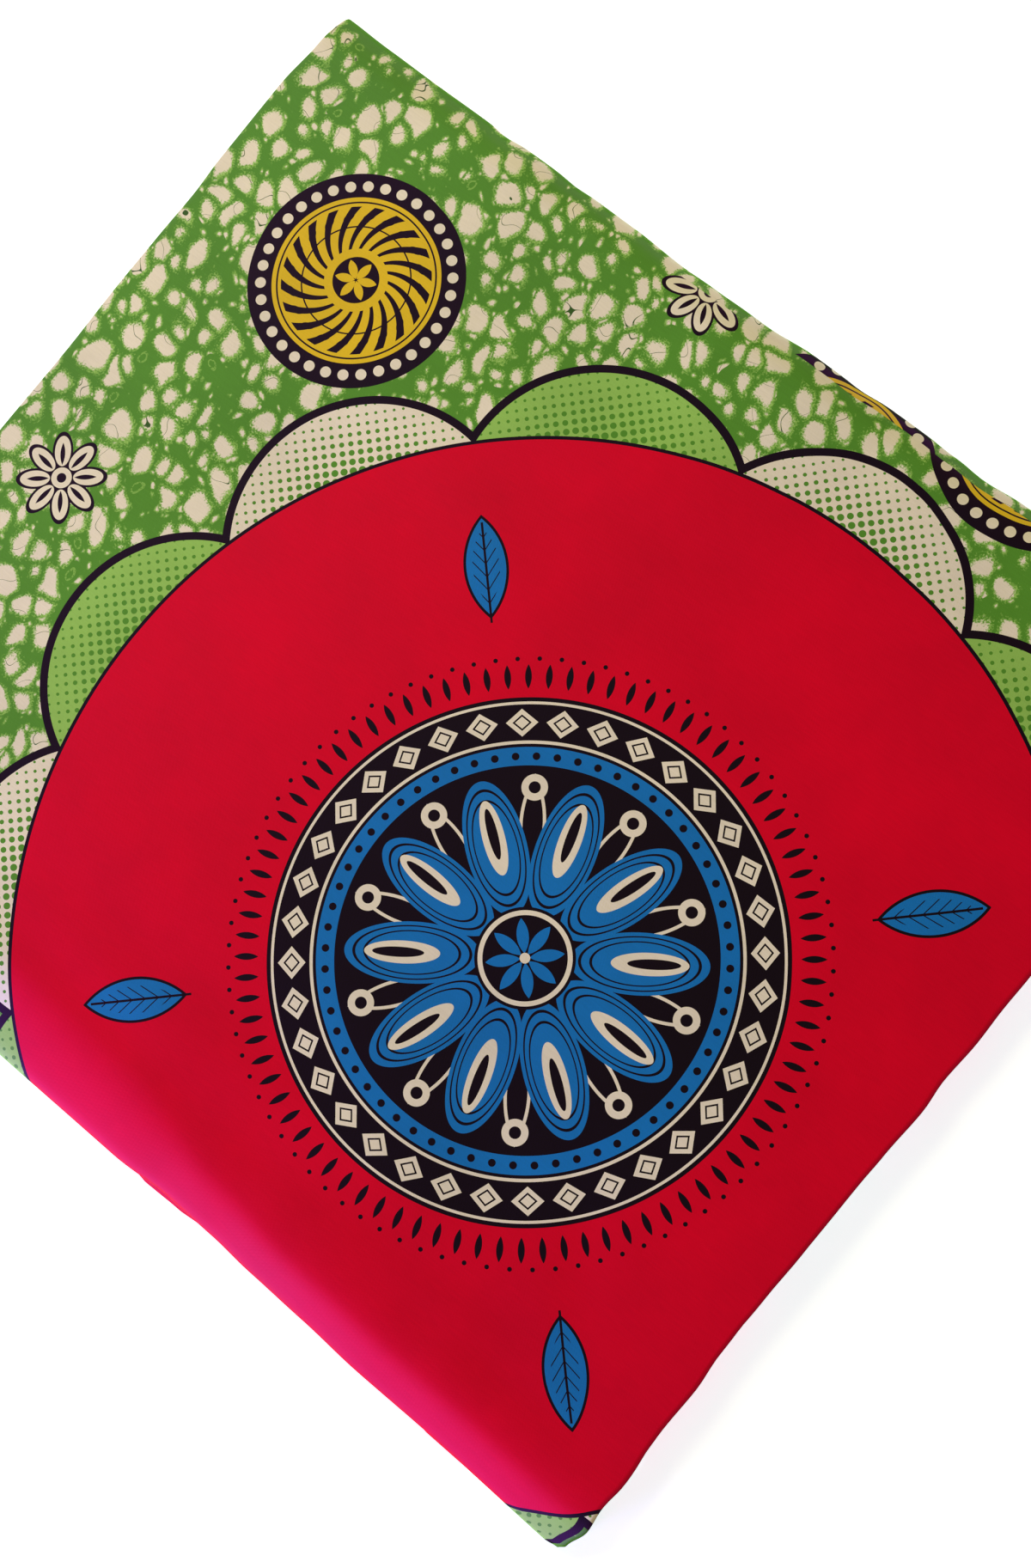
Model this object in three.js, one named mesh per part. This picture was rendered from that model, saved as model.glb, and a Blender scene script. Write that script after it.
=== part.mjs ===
// A length of wax print cotton, put away flat: folded selvage to selvage, then
// turned over and over into a flat bundle. Millimetres, +Z up.
// X runs across the cloth, from the centre fold (-X) to the two selvages (+X).
// Y runs along the cloth, from the front fold (-Y) to the back fold (+Y).
// The origin is the middle of the underside.
import * as THREE from "three";

// Sizes
const CLOTH_WIDTH = 1168; // selvage to selvage, 46 in
const BUNDLE_WIDTH = CLOTH_WIDTH / 2; // centre fold to selvages
const BUNDLE_DEPTH = 534; // front fold to back fold
const BUNDLE_HEIGHT = 16; // ten turns of doubled cloth, lying loosely

// Walls. One ply stands for the cloth with the air that lies in it.
const PLY = 1;
const SLIT = 0.3; // between the two plies of the doubled cloth
const GAP = 0.3; // between neighbouring pieces
const DOUBLED = 2 * PLY + SLIT;

const HALF_W = BUNDLE_WIDTH / 2;
const HALF_D = BUNDLE_DEPTH / 2;
const FOLD_X = -HALF_W + DOUBLED / 2; // where the doubled cloth starts to bend round
const NOSE_Z = BUNDLE_HEIGHT / 2; // height at which both folds reach furthest out

// The two rolled folds, seen from the side. reach: how far in from the fold the top
// starts to fall. level and drop: how long the curve stays level, and how far it
// falls upright to the nose.
const FRONT_ROLL = { reach: 44, level: 25, drop: 4.6 };
const BACK_ROLL = { reach: 22, level: 14, drop: 5 };

// The bundle thins by this much towards the front fold
const FRONT_FALL = 3.2;

// Where the stretches meet, out of sight
const TUCK = 60; // the top stretch turns in under the front fold by this much
const LAP = 40; // and ends this far in from the back fold, on the underside

// How far each side draws in from the bundle's box, along its length
const FRONT_FOLD_LINE = [
  { at: -292, inward: 1.4 },
  { at: -190, inward: 0.0 },
  { at: -80, inward: 1.4 },
  { at: 0, inward: 1.8 },
  { at: 35, inward: 4.3 },
  { at: 65, inward: 4.2 },
  { at: 90, inward: 3.2 },
  { at: 125, inward: 2.8 },
  { at: 160, inward: 1.8 },
  { at: 210, inward: 2.4 },
  { at: 292, inward: 1.6 },
];
const BACK_FOLD_LINE = [
  { at: -292, inward: 0.8 },
  { at: -262, inward: 1.7 },
  { at: -225, inward: 2.1 },
  { at: -150, inward: 2.0 },
  { at: -92, inward: 2.7 },
  { at: -58, inward: 4.2 },
  { at: -5, inward: 3.7 },
  { at: 22, inward: 1.8 },
  { at: 48, inward: 2.0 },
  { at: 70, inward: 1.1 },
  { at: 106, inward: 1.3 },
  { at: 128, inward: 3.0 },
  { at: 150, inward: 1.3 },
  { at: 190, inward: 0.0 },
  { at: 292, inward: 1.4 },
];
const CENTRE_FOLD_LINE = [
  { at: -267, inward: 3.0 },
  { at: -180, inward: 1.6 },
  { at: -20, inward: 1.3 },
  { at: 35, inward: 1.9 },
  { at: 80, inward: 1.1 },
  { at: 140, inward: 1.8 },
  { at: 165, inward: 0.7 },
  { at: 215, inward: 0.5 },
  { at: 245, inward: 2.7 },
  { at: 267, inward: 4.4 },
];
const SELVAGE_LINE = [
  { at: -267, inward: 4.2 },
  { at: -250, inward: 0.0 },
  { at: -221, inward: 0.6 },
  { at: -188, inward: 2.3 },
  { at: -145, inward: 3.1 },
  { at: -110, inward: 3.0 },
  { at: -55, inward: 2.0 },
  { at: 4, inward: 0.3 },
  { at: 45, inward: 0.2 },
  { at: 84, inward: 0.0 },
  { at: 180, inward: 1.6 },
  { at: 267, inward: 2.6 },
];
// The cloth's free end lies under the front fold and peeps out at two places
const FREE_END_LINE = [
  { at: -292, inward: 15 },
  { at: -120, inward: 10 },
  { at: 0, inward: 5 },
  { at: 18, inward: 0.8 },
  { at: 42, inward: 1.6 },
  { at: 60, inward: 3.4 },
  { at: 85, inward: 8 },
  { at: 170, inward: 9 },
  { at: 205, inward: 0.7 },
  { at: 262, inward: 0.9 },
  { at: 292, inward: 5 },
];
// How far in from the front fold the bundle starts to thin
const FRONT_FALL_LINE = [
  { at: -292, inward: 46 },
  { at: -20, inward: 44 },
  { at: 50, inward: 28 },
  { at: 100, inward: 23 },
  { at: 292, inward: 23 },
];

// The second ply ends this far inside the first one, at the selvages
const SECOND_SELVAGE = 1.6;

// The hidden turns: how far each ends inside the bundle's box, from the outermost in
const HIDDEN_TURNS = [
  { centreFoldEnd: 2.4, selvageEnd: 3.2 },
  { centreFoldEnd: 1.4, selvageEnd: 1.6 },
  { centreFoldEnd: 3.6, selvageEnd: 4.6 },
  { centreFoldEnd: 2.0, selvageEnd: 2.4 },
];

// Soft troughs and ridges of the top, which die away towards the underside.
// turn is in degrees from +X; length and width are at half height.
const RELIEF = [
  { x: -20, y: 20, turn: 10, length: 420, width: 330, rise: -1.1 },
  { x: -150, y: 70, turn: 38, length: 210, width: 46, rise: -0.55 },
  { x: -90, y: -150, turn: 8, length: 240, width: 52, rise: 0.45 },
  { x: 120, y: -120, turn: -24, length: 190, width: 48, rise: -0.5 },
  { x: 190, y: 90, turn: 62, length: 200, width: 54, rise: 0.5 },
  { x: 20, y: 200, turn: 4, length: 260, width: 44, rise: -0.45 },
  { x: 215, y: -215, turn: -40, length: 120, width: 40, rise: -0.4 },
  { x: -160, y: -221, turn: 2, length: 330, width: 58, rise: 0.9 },
  { x: 150, y: -247, turn: 0, length: 360, width: 32, rise: 1.1 },
];

// How finely each surface is divided
const ACROSS = 19; // from the centre fold to the selvages
const ROUND_CENTRE_FOLD = 3;
const ROUND_FRONT = 5; // half way round the front fold
const ROUND_BACK = 4; // half way round the back fold
const ALONG_TOP = 9;
const ALONG_UNDERSIDE = 7;

// Smooth reading of one of the lines above
function lineAt(line, at) {
  const next = line.findIndex((row) => row.at >= at);
  if (next <= 0) return (next === 0 ? line[0] : line[line.length - 1]).inward;
  const a = line[next - 1];
  const b = line[next];
  return THREE.MathUtils.lerp(
    a.inward,
    b.inward,
    THREE.MathUtils.smoothstep(at, a.at, b.at),
  );
}

function reliefAt(x, y) {
  let rise = 0;
  for (const fold of RELIEF) {
    const turn = THREE.MathUtils.degToRad(fold.turn);
    const along = (x - fold.x) * Math.cos(turn) + (y - fold.y) * Math.sin(turn);
    const across = (y - fold.y) * Math.cos(turn) - (x - fold.x) * Math.sin(turn);
    const far = (2 * along / fold.length) ** 2 + (2 * across / fold.width) ** 2;
    rise += fold.rise * Math.pow(2, -far);
  }
  return rise;
}

// How far the top falls towards the front fold
function fallAt(x, y) {
  const from = HALF_D - lineAt(FRONT_FALL_LINE, x);
  return FRONT_FALL * THREE.MathUtils.smoothstep(-y, from, HALF_D);
}

// The even bundle is laid out with straight sides and a level top; this draws its
// sides in along the lines above and gives the top its relief. The underside stays flat.
function settle(p, movesFolds = true) {
  const side = p.x < 0 ? CENTRE_FOLD_LINE : SELVAGE_LINE;
  const end = p.y < 0 ? FRONT_FOLD_LINE : BACK_FOLD_LINE;
  const x = p.x - Math.sign(p.x) * lineAt(side, p.y) * Math.abs(p.x / HALF_W) ** 5;
  const y = p.y - Math.sign(p.y) * lineAt(end, p.x) * Math.abs(p.y / HALF_D) ** 5;
  const rise = reliefAt(p.x, p.y) - fallAt(p.x, p.y);
  const z = p.z + rise * (p.z / BUNDLE_HEIGHT);
  return new THREE.Vector3(x, movesFolds ? y : p.y, z);
}

// Points of a curve in the (Y, Z) plane, each with the direction into the bundle,
// which lies on the right as the curve runs.
function stationsOf(curve, count) {
  return Array.from({ length: count + 1 }, (_, i) => {
    const tangent = curve.getTangent(i / count);
    return {
      at: curve.getPoint(i / count),
      inwards: new THREE.Vector2(tangent.y, -tangent.x).normalize(),
    };
  });
}

const v2 = (y, z) => new THREE.Vector2(y, z);

// A quarter turn between a level point and a point on the nose
function quarterTurn(from, to, levelFirst) {
  const k = 0.5523; // makes a Bezier curve follow a quarter of an ellipse
  const turnsAt = levelFirst ? v2(to.x, from.y) : v2(from.x, to.y);
  return new THREE.CubicBezierCurve(
    from,
    from.clone().lerp(turnsAt, k),
    to.clone().lerp(turnsAt, k),
    to,
  );
}

// The upper half of a rolled fold, from the level top to the nose
function upperRoll(roll, side) {
  const nose = side * HALF_D;
  return [
    v2(nose - side * roll.reach, BUNDLE_HEIGHT),
    v2(nose - side * (roll.reach - roll.level), BUNDLE_HEIGHT),
    v2(nose, NOSE_Z + roll.drop),
    v2(nose, NOSE_Z),
  ];
}

// The rolled folds and the level top between them, as the face that shows runs from
// the underside at the front round to the underside at the back
function overTheTop() {
  const lowZ = DOUBLED + GAP; // the front fold turns in over the under stretch
  const frontIn = v2(-HALF_D + NOSE_Z - lowZ, lowZ);
  const backIn = v2(HALF_D - NOSE_Z, 0);
  const topFrom = v2(-HALF_D + FRONT_ROLL.reach, BUNDLE_HEIGHT);
  const topTo = v2(HALF_D - BACK_ROLL.reach, BUNDLE_HEIGHT);
  return {
    frontIn,
    backIn,
    lowerFront: quarterTurn(frontIn, v2(-HALF_D, NOSE_Z), true),
    upperFront: new THREE.CubicBezierCurve(...upperRoll(FRONT_ROLL, -1).reverse()),
    top: new THREE.LineCurve(topFrom, topTo),
    upperBack: new THREE.CubicBezierCurve(...upperRoll(BACK_ROLL, 1)),
    lowerBack: quarterTurn(v2(HALF_D, NOSE_Z), backIn, false),
  };
}

// The stations of several curves that follow one another, a row [curve, divisions] each
const chain = (rows) =>
  rows.flatMap(([curve, count], i) => stationsOf(curve, count).slice(i === 0 ? 0 : 1));

// From its tucked-in start under the front fold, up round that fold, over the top and
// down round the back fold to the lap on the underside
function topStretchPath() {
  const way = overTheTop();
  const start = v2(-HALF_D + TUCK, way.frontIn.y);
  const end = v2(HALF_D - LAP, 0);
  return chain([
    [new THREE.LineCurve(start, way.frontIn), 1],
    [way.lowerFront, ROUND_FRONT],
    [way.upperFront, ROUND_FRONT],
    [way.top, ALONG_TOP],
    [way.upperBack, ROUND_BACK],
    [way.lowerBack, ROUND_BACK],
    [new THREE.LineCurve(way.backIn, end), 1],
  ]);
}

// The outline of the hidden turns in the (Y, Z) plane, from the front fold over the top,
// round the back fold and along the underside, with a step up over the tucked-in start
function hiddenOutline() {
  const way = overTheTop();
  const depth = DOUBLED + GAP;
  const inside = (rows) =>
    chain(rows).map(({ at, inwards }) => at.clone().addScaledVector(inwards, depth));
  const stepY = -HALF_D + TUCK + GAP;
  const level = ALONG_TOP - 1;
  const underside = Array.from({ length: level }, (_, i) =>
    v2(THREE.MathUtils.lerp(way.backIn.x, stepY + 1, (i + 1) / level), depth),
  );
  return [
    ...inside([
      [way.upperFront, ROUND_FRONT],
      [way.top, ALONG_TOP],
      [way.upperBack, ROUND_BACK],
      [way.lowerBack, ROUND_BACK],
    ]),
    ...underside,
    v2(stepY, way.frontIn.y + depth),
    ...inside([[way.lowerFront, ROUND_FRONT]]).slice(0, -1),
  ];
}

// Where every piece is divided across the cloth, short of its selvage
const acrossX = () =>
  Array.from({ length: ACROSS }, (_, i) =>
    THREE.MathUtils.lerp(FOLD_X, HALF_W, i / ACROSS),
  );

// The doubled cloth cut across: a hairpin of (x, depth) points, depth counted into
// the bundle from the face that shows.
function hairpin() {
  const outer = DOUBLED / 2;
  const inner = SLIT / 2;
  const row = (selvage, depth) => [...acrossX(), selvage].map((x) => [x, depth]);
  const bend = (radius, count, way) =>
    Array.from({ length: count }, (_, i) => {
      const angle = (Math.PI * (i + 1)) / (count + 1);
      return [FOLD_X - radius * Math.sin(angle), outer - way * radius * Math.cos(angle)];
    });
  const first = HALF_W;
  const second = HALF_W - SECOND_SELVAGE;
  return [
    ...row(first, 0).reverse(),
    ...bend(outer, ROUND_CENTRE_FOLD, 1),
    ...row(second, DOUBLED),
    ...row(second, PLY + SLIT).reverse(),
    ...bend(inner, ROUND_CENTRE_FOLD, -1),
    ...row(first, PLY),
  ];
}

// A closed surface through rings of equally many points, capped at both ends. Seen
// from the end they run to, the rings go round clockwise. A ring's second half comes
// back along its first, so each cap is a strip between the two halves.
function skin(rings) {
  const count = rings[0].length;
  const last = (rings.length - 1) * count;
  const index = [];
  for (let i = 0; i + 1 < rings.length; i++) {
    for (let j = 0; j < count; j++) {
      const a = i * count + j;
      const b = i * count + ((j + 1) % count);
      index.push(a, b + count, b, a, a + count, b + count);
    }
  }
  for (let a = 0; a + 1 < count / 2; a++) {
    const [b, c, d] = [a + 1, count - 2 - a, count - 1 - a];
    index.push(a, b, c, a, c, d);
    index.push(last + a, last + c, last + b, last + a, last + d, last + c);
  }
  const geometry = new THREE.BufferGeometry().setFromPoints(rings.flat());
  geometry.setIndex(index);
  geometry.computeVertexNormals();
  return geometry;
}

function topStretch() {
  const profile = hairpin();
  const rings = topStretchPath().map(({ at, inwards }) =>
    profile.map(([x, depth]) =>
      settle(
        new THREE.Vector3(x, at.x + inwards.x * depth, at.y + inwards.y * depth),
      ),
    ),
  );
  return skin(rings);
}

// The stretch that the bundle lies on, from the lap forward to the cloth's free end
function underStretch() {
  const profile = hairpin();
  const back = HALF_D - LAP - GAP;
  const rings = Array.from({ length: ALONG_UNDERSIDE + 1 }, (_, i) =>
    profile.map(([x, depth]) => {
      const front = -HALF_D + lineAt(FREE_END_LINE, x);
      const y = THREE.MathUtils.lerp(back, front, i / ALONG_UNDERSIDE);
      return settle(new THREE.Vector3(x, y, depth), y > 0);
    }),
  );
  return skin(rings);
}

// The hidden turns fill the outer ones as one rounded solid, whose two ends step in
// and out as the turns do.
function hiddenTurns() {
  const outline = hiddenOutline();
  const share = 1 / HIDDEN_TURNS.length;
  const thick = (NOSE_Z - DOUBLED - GAP) * share;
  const loopAt = (x, turn) =>
    outline.map((p) => {
      const y = p.x * (1 - (turn * thick) / HALF_D);
      const z = NOSE_Z + (p.y - NOSE_Z) * (1 - turn * share);
      return settle(new THREE.Vector3(x, y, z));
    });
  const centreEnd = (i) => -HALF_W + HIDDEN_TURNS[i].centreFoldEnd;
  const selvageEnd = (i) => HALF_W - HIDDEN_TURNS[i].selvageEnd;
  const rings = [];
  for (let i = HIDDEN_TURNS.length - 1; i >= 0; i--) {
    if (i + 1 < HIDDEN_TURNS.length) rings.push(loopAt(centreEnd(i), i + 1));
    rings.push(loopAt(centreEnd(i), i));
  }
  rings.push(...acrossX().slice(1).map((x) => loopAt(x, 0)));
  for (let i = 0; i < HIDDEN_TURNS.length; i++) {
    rings.push(loopAt(selvageEnd(i), i));
    if (i + 1 < HIDDEN_TURNS.length) rings.push(loopAt(selvageEnd(i), i + 1));
  }
  return skin(rings);
}

function piece(name, geometry, colour) {
  const material = new THREE.MeshStandardMaterial({
    color: colour,
    roughness: 0.62,
    metalness: 0,
  });
  const mesh = new THREE.Mesh(geometry, material);
  mesh.name = name;
  return mesh;
}

const group = new THREE.Group();
group.name = "wax_print_fabric";
group.add(
  piece("top_stretch", topStretch(), "#c4042c"),
  piece("under_stretch", underStretch(), "#b0062a"),
  piece("hidden_turns", hiddenTurns(), "#8f3a2c"),
);

// The origin is the middle of the underside of the bundle's own box
const box = new THREE.Box3().setFromObject(group);
const middle = box.getCenter(new THREE.Vector3());
group.position.set(-middle.x, -middle.y, -box.min.z);

export default group;
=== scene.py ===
"""A length of wax print cotton, folded selvage to selvage and turned over and over into a
flat bundle. Each ply is a thin sheet of cloth wound into one flat spiral, and the print is
drawn in the cloth's own coordinates: across it from the centre fold, and along its length.
"""
import math

import bpy
import numpy as np
from mathutils import Matrix, Vector


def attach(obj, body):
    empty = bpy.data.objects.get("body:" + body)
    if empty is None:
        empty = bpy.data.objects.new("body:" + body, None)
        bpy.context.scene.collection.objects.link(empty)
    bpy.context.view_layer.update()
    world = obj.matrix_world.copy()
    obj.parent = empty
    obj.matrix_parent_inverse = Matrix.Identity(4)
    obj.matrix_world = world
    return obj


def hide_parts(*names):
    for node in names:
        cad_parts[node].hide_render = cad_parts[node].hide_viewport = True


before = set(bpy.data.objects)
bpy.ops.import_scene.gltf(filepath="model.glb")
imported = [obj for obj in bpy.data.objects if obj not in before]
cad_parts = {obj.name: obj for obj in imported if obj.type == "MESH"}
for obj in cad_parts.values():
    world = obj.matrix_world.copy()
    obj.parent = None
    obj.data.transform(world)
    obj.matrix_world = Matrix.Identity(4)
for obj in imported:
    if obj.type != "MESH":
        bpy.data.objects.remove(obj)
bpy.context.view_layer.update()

bl_info = {
    "name": "Folded wax print fabric",
    "version": (1, 0, 0),
    "blender": (4, 5, 0),
    "location": "3D View > Sidebar > Fabric",
    "description": "Builds a folded length of wax print cotton and its stage",
    "category": "Object",
}

MM = 0.001  # the shapes below are worked out in millimetres

# ---------------------------------------------------------------- shape of the bundle
NOSE_Z = 8.0  # height at which both folds reach furthest out
PITCH = 1.6  # from one doubled turn to the next
DOUBLED = 1.15  # outside of the first ply to outside of the second
FLAT_FROM = 259.0  # the underside is level between here and the same at the front
TUCK_END = 207.0  # the top stretch turns in under the front fold as far as this
LAP_END = 227.0  # and ends here, on the underside at the back
CUT_GAP = 0.3  # between the ends of neighbouring pieces
HIDDEN_TURNS = 4

# Each fold from the level top to its nose: how far in the top starts to fall, how long
# the curve stays level, and how far above the nose it turns down.
FRONT_ROLL = {"reach": 44.0, "level": 25.0, "drop": 4.6}
BACK_ROLL = {"reach": 22.0, "level": 14.0, "drop": 5.0}

# The bundle thins by this much towards the front fold
FRONT_FALL = 3.2

# How far each side draws in from the bundle's box: (place along the side, inward)
FRONT_FOLD_LINE = (
    (-292, 1.4), (-190, 0.0), (-80, 1.4), (0, 1.8), (35, 4.3), (65, 4.2), (90, 3.2),
    (125, 2.8), (160, 1.8), (210, 2.4), (284, 1.6), (292, 2.9),
)
BACK_FOLD_LINE = (
    (-292, 0.8), (-262, 1.7), (-225, 2.1), (-150, 2.0), (-92, 2.7), (-58, 4.2), (-34, 3.4),
    (-5, 3.8), (22, 1.8), (48, 2.0), (70, 1.1), (106, 1.3), (128, 3.0), (150, 1.3),
    (190, 0.0), (292, 1.4),
)
CENTRE_FOLD_LINE = (
    (-267, 3.0), (-180, 1.6), (-20, 1.3), (35, 1.9), (80, 1.1), (110, 1.3), (140, 1.8),
    (165, 0.7), (215, 0.5), (245, 2.7), (267, 4.4),
)
SELVAGE_LINE = (
    (-267, 5.8), (-263, 3.2), (-250, 0.0), (-236, 1.4), (-221, 0.2), (-188, 2.3), (-165, 1.7),
    (-145, 3.2), (-110, 3.0), (-85, 2.3), (-55, 2.0), (-25, 1.3), (4, 0.0), (20, 1.2),
    (45, 0.0), (64, 0.4), (84, 0.0), (180, 1.6), (267, 2.6),
)
FREE_END_LINE = (
    (-292, 15), (-120, 10), (0, 5), (18, 0.8), (42, 1.6), (60, 3.4), (85, 8), (170, 9),
    (205, 0.7), (262, 0.9), (292, 7),
)
# How far in from the front fold it starts to thin
FRONT_FALL_LINE = ((-292, 46), (-20, 44), (50, 28), (100, 23), (292, 23))
SECOND_SELVAGE = 1.6  # the second ply ends this far inside the first
TURN_ENDS = ((2.4, 3.2), (1.4, 1.6), (3.6, 4.6), (2.0, 2.4))  # centre fold, selvage

# Soft troughs and ridges: x, y, turn from +X in degrees, length and width at half
# their height, rise
RELIEF = (
    (-20, 20, 10, 420, 330, -1.1),
    (-150, 70, 38, 210, 46, -0.55),
    (-90, -150, 8, 240, 52, 0.45),
    (120, -120, -24, 190, 48, -0.5),
    (190, 90, 62, 200, 54, 0.5),
    (20, 200, 4, 260, 44, -0.45),
    (215, -215, -40, 120, 40, -0.4),
    (-160, -221, 2, 330, 58, 0.9),
    (150, -247, 0, 360, 32, 1.1),
)
# Finer ones of the same kind, which only the cloth has
CREASES = (
    (-205, -60, 74, 190, 22, -0.28),
    (-232, -40, 70, 150, 18, 0.20),
    (-140, -40, 32, 170, 20, -0.22),
    (-60, 96, -18, 150, 26, 0.22),
    (40, 150, 12, 180, 18, -0.24),
    (150, 30, 66, 130, 22, -0.22),
    (232, -70, 84, 150, 20, 0.24),
    (210, -150, -52, 110, 20, -0.26),
    (30, -190, 3, 230, 24, 0.26),
    (-70, -212, -6, 160, 18, -0.22),
    (150, -216, 6, 130, 16, 0.20),
    (-10, -236, 84, 60, 34, 0.36),
    (62, -240, 95, 56, 26, -0.34),
    (118, -236, 80, 60, 30, 0.30),
    (176, -242, 97, 52, 24, -0.36),
    (236, -238, 88, 54, 26, 0.28),
    (-120, 246, 92, 46, 22, -0.30),
    (-20, 244, 84, 50, 26, 0.32),
    (84, 246, 97, 44, 20, -0.34),
    (150, 244, 88, 50, 24, 0.28),
)
# Small notches where the rolled back fold puckers: place, half width, inward
BACK_NOTCHES = ((-178, 7, 1.3), (-131, 8, 0.8), (-34, 9, 0.5), (54, 8, 0.5),
                (106, 7, 0.7), (214, 9, 1.1))
# and where the doubled selvages stand in or out
SELVAGE_NOTCHES = ((-203, 6, 0.3), (-128, 7, 0.3), (-38, 8, 0.2), (108, 9, 0.8),
                   (150, 12, 0.9), (228, 10, 1.0))
# Lengths and heights of the waves by which the edges of the inner plies wander
WAVES = ((310.0, 0.9), (127.0, 0.5), (53.0, 0.28))
EDGE_POWER = 5  # how quickly the drawing in of a side dies away towards the middle
BEND_POINTS = 6  # round the centre fold, between the two plies
# How finely a sheet is divided across, as shares of half its width: near the centre fold
# and selvages, between them, and how far in the fine part goes
TOP_ACROSS = (0.0045, 0.0088, 0.036)
TUCKED_ACROSS = (0.012, 0.05, 0.036)  # the top stretch's second ply, which never shows
UNDER_ACROSS = (0.008, 0.014, 0.032)
TURNS_ACROSS = (0.006, 0.04, 0.024)
# Place along the cloth where each stretch starts. On the top it is the same as y.
TOP_START = 309.0
UNDER_START = TOP_START + 493.0
TURNS_START = -330.0
PEEPS_OUT = 30.0  # the free end's finely divided part, near the front fold


def line_at(rows, at):
    """Reads one of the lines above smoothly."""
    places, inward = np.array(rows, float).T
    at = np.clip(at, places[0], places[-1])
    i = np.clip(np.searchsorted(places, at, side="left") - 1, 0, len(places) - 2)
    t = (at - places[i]) / (places[i + 1] - places[i])
    t = t * t * (3 - 2 * t)
    return inward[i] + (inward[i + 1] - inward[i]) * t


def notches_at(rows, at):
    return sum(inward * np.exp(-(((at - place) / width) ** 2))
               for place, width, inward in rows)


def rise_at(rows, x, y):
    rise = 0.0
    for x0, y0, turn, length, width, height in rows:
        c, s = math.cos(math.radians(turn)), math.sin(math.radians(turn))
        along = (x - x0) * c + (y - y0) * s
        across = (y - y0) * c - (x - x0) * s
        rise = rise + height * 2.0 ** -(
            (2 * along / length) ** 2 + (2 * across / width) ** 2)
    return rise


def settle(x, y, z, sizes, moves_folds=True):
    """Draws the even bundle's sides in and gives its top the relief. Every layer goes
    through the same change, so none cuts its neighbours. The underside stays flat."""
    half_w, half_d = sizes["half_w"], sizes["half_d"]
    side = np.where(
        x < 0,
        line_at(CENTRE_FOLD_LINE, y),
        line_at(SELVAGE_LINE, y) + notches_at(SELVAGE_NOTCHES, y),
    )
    end = np.where(
        y < 0,
        line_at(FRONT_FOLD_LINE, x),
        line_at(BACK_FOLD_LINE, x) + notches_at(BACK_NOTCHES, x),
    )
    drawn_x = x - np.sign(x) * side * np.abs(x / half_w) ** EDGE_POWER
    drawn_y = y - np.sign(y) * end * np.abs(y / half_d) ** EDGE_POWER
    moved = np.where((y > 0) | moves_folds, drawn_y, y)
    near_front = np.clip((-y - half_d) / line_at(FRONT_FALL_LINE, x) + 1, 0, 1)
    rise = (rise_at(RELIEF + CREASES, x, y)
            - FRONT_FALL * near_front**2 * (3 - 2 * near_front))
    return drawn_x, moved, z + rise * z / sizes["height"]


def bezier(p, t):
    s = 1 - t
    return s**3 * p[0] + 3 * s * s * t * p[1] + 3 * s * t * t * p[2] + t**3 * p[3]


def leg_at(leg, t, depth, sizes):
    """The (y, z) of one leg of the winding, at a depth below the outermost face. The
    legs follow one another as the cloth is wound: the underside from front to back, up
    round the back fold, the top from back to front and down round the front fold."""
    half_d, height = sizes["half_d"], sizes["height"]
    left = (NOSE_Z - depth) / NOSE_Z  # what is left of the curve's height
    level, nose = height - depth, half_d - depth
    if leg == "back_lower":
        a = t * math.pi / 2
        return (FLAT_FROM + (nose - FLAT_FROM) * np.sin(a),
                NOSE_Z - (NOSE_Z - depth) * np.cos(a))
    if leg == "front_lower":  # ends one turn further in
        a = t * math.pi / 2
        return (-FLAT_FROM - (nose - FLAT_FROM) * np.cos(a),
                NOSE_Z - (NOSE_Z - depth - PITCH) * np.sin(a))
    roll, side = (BACK_ROLL, 1) if leg in ("back_upper", "top") else (FRONT_ROLL, -1)
    if leg == "top":
        start, stop = half_d - BACK_ROLL["reach"], FRONT_ROLL["reach"] - half_d
        return start + (stop - start) * t, level + 0 * t
    from_top = 1 - t if leg == "back_upper" else t
    y = (half_d - roll["reach"], half_d - roll["reach"] + roll["level"], nose, nose)
    z = (level, level, NOSE_Z + roll["drop"] * left, NOSE_Z)
    return side * bezier(y, from_top), bezier(z, from_top)


def wind(legs):
    """Rows of the winding: for each, its leg, the place on it and its depth. legs has
    (leg, from, to, divisions, depth) rows, and underside legs run between two y."""
    rows = []
    for number, (leg, start, stop, count, depth) in enumerate(legs):
        for i in range(0 if number == 0 else 1, count + 1):
            rows.append((leg, start + (stop - start) * i / count, depth))
    return rows


def finer_ends(fine, coarse, margin):
    """Places from 0 to 1, close together near both ends."""
    near = round(margin / fine)
    middle = round((1 - 2 * margin) / coarse)
    steps = [fine] * near + [(1 - 2 * near * fine) / middle] * middle + [fine] * near
    return np.cumsum([0] + steps)


def wave(at, seed):
    """An uneven line that never repeats within the bundle."""
    return sum(height * np.sin(2 * math.pi * at / length + seed * (k + 1.7))
               for k, (length, height) in enumerate(WAVES))


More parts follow.
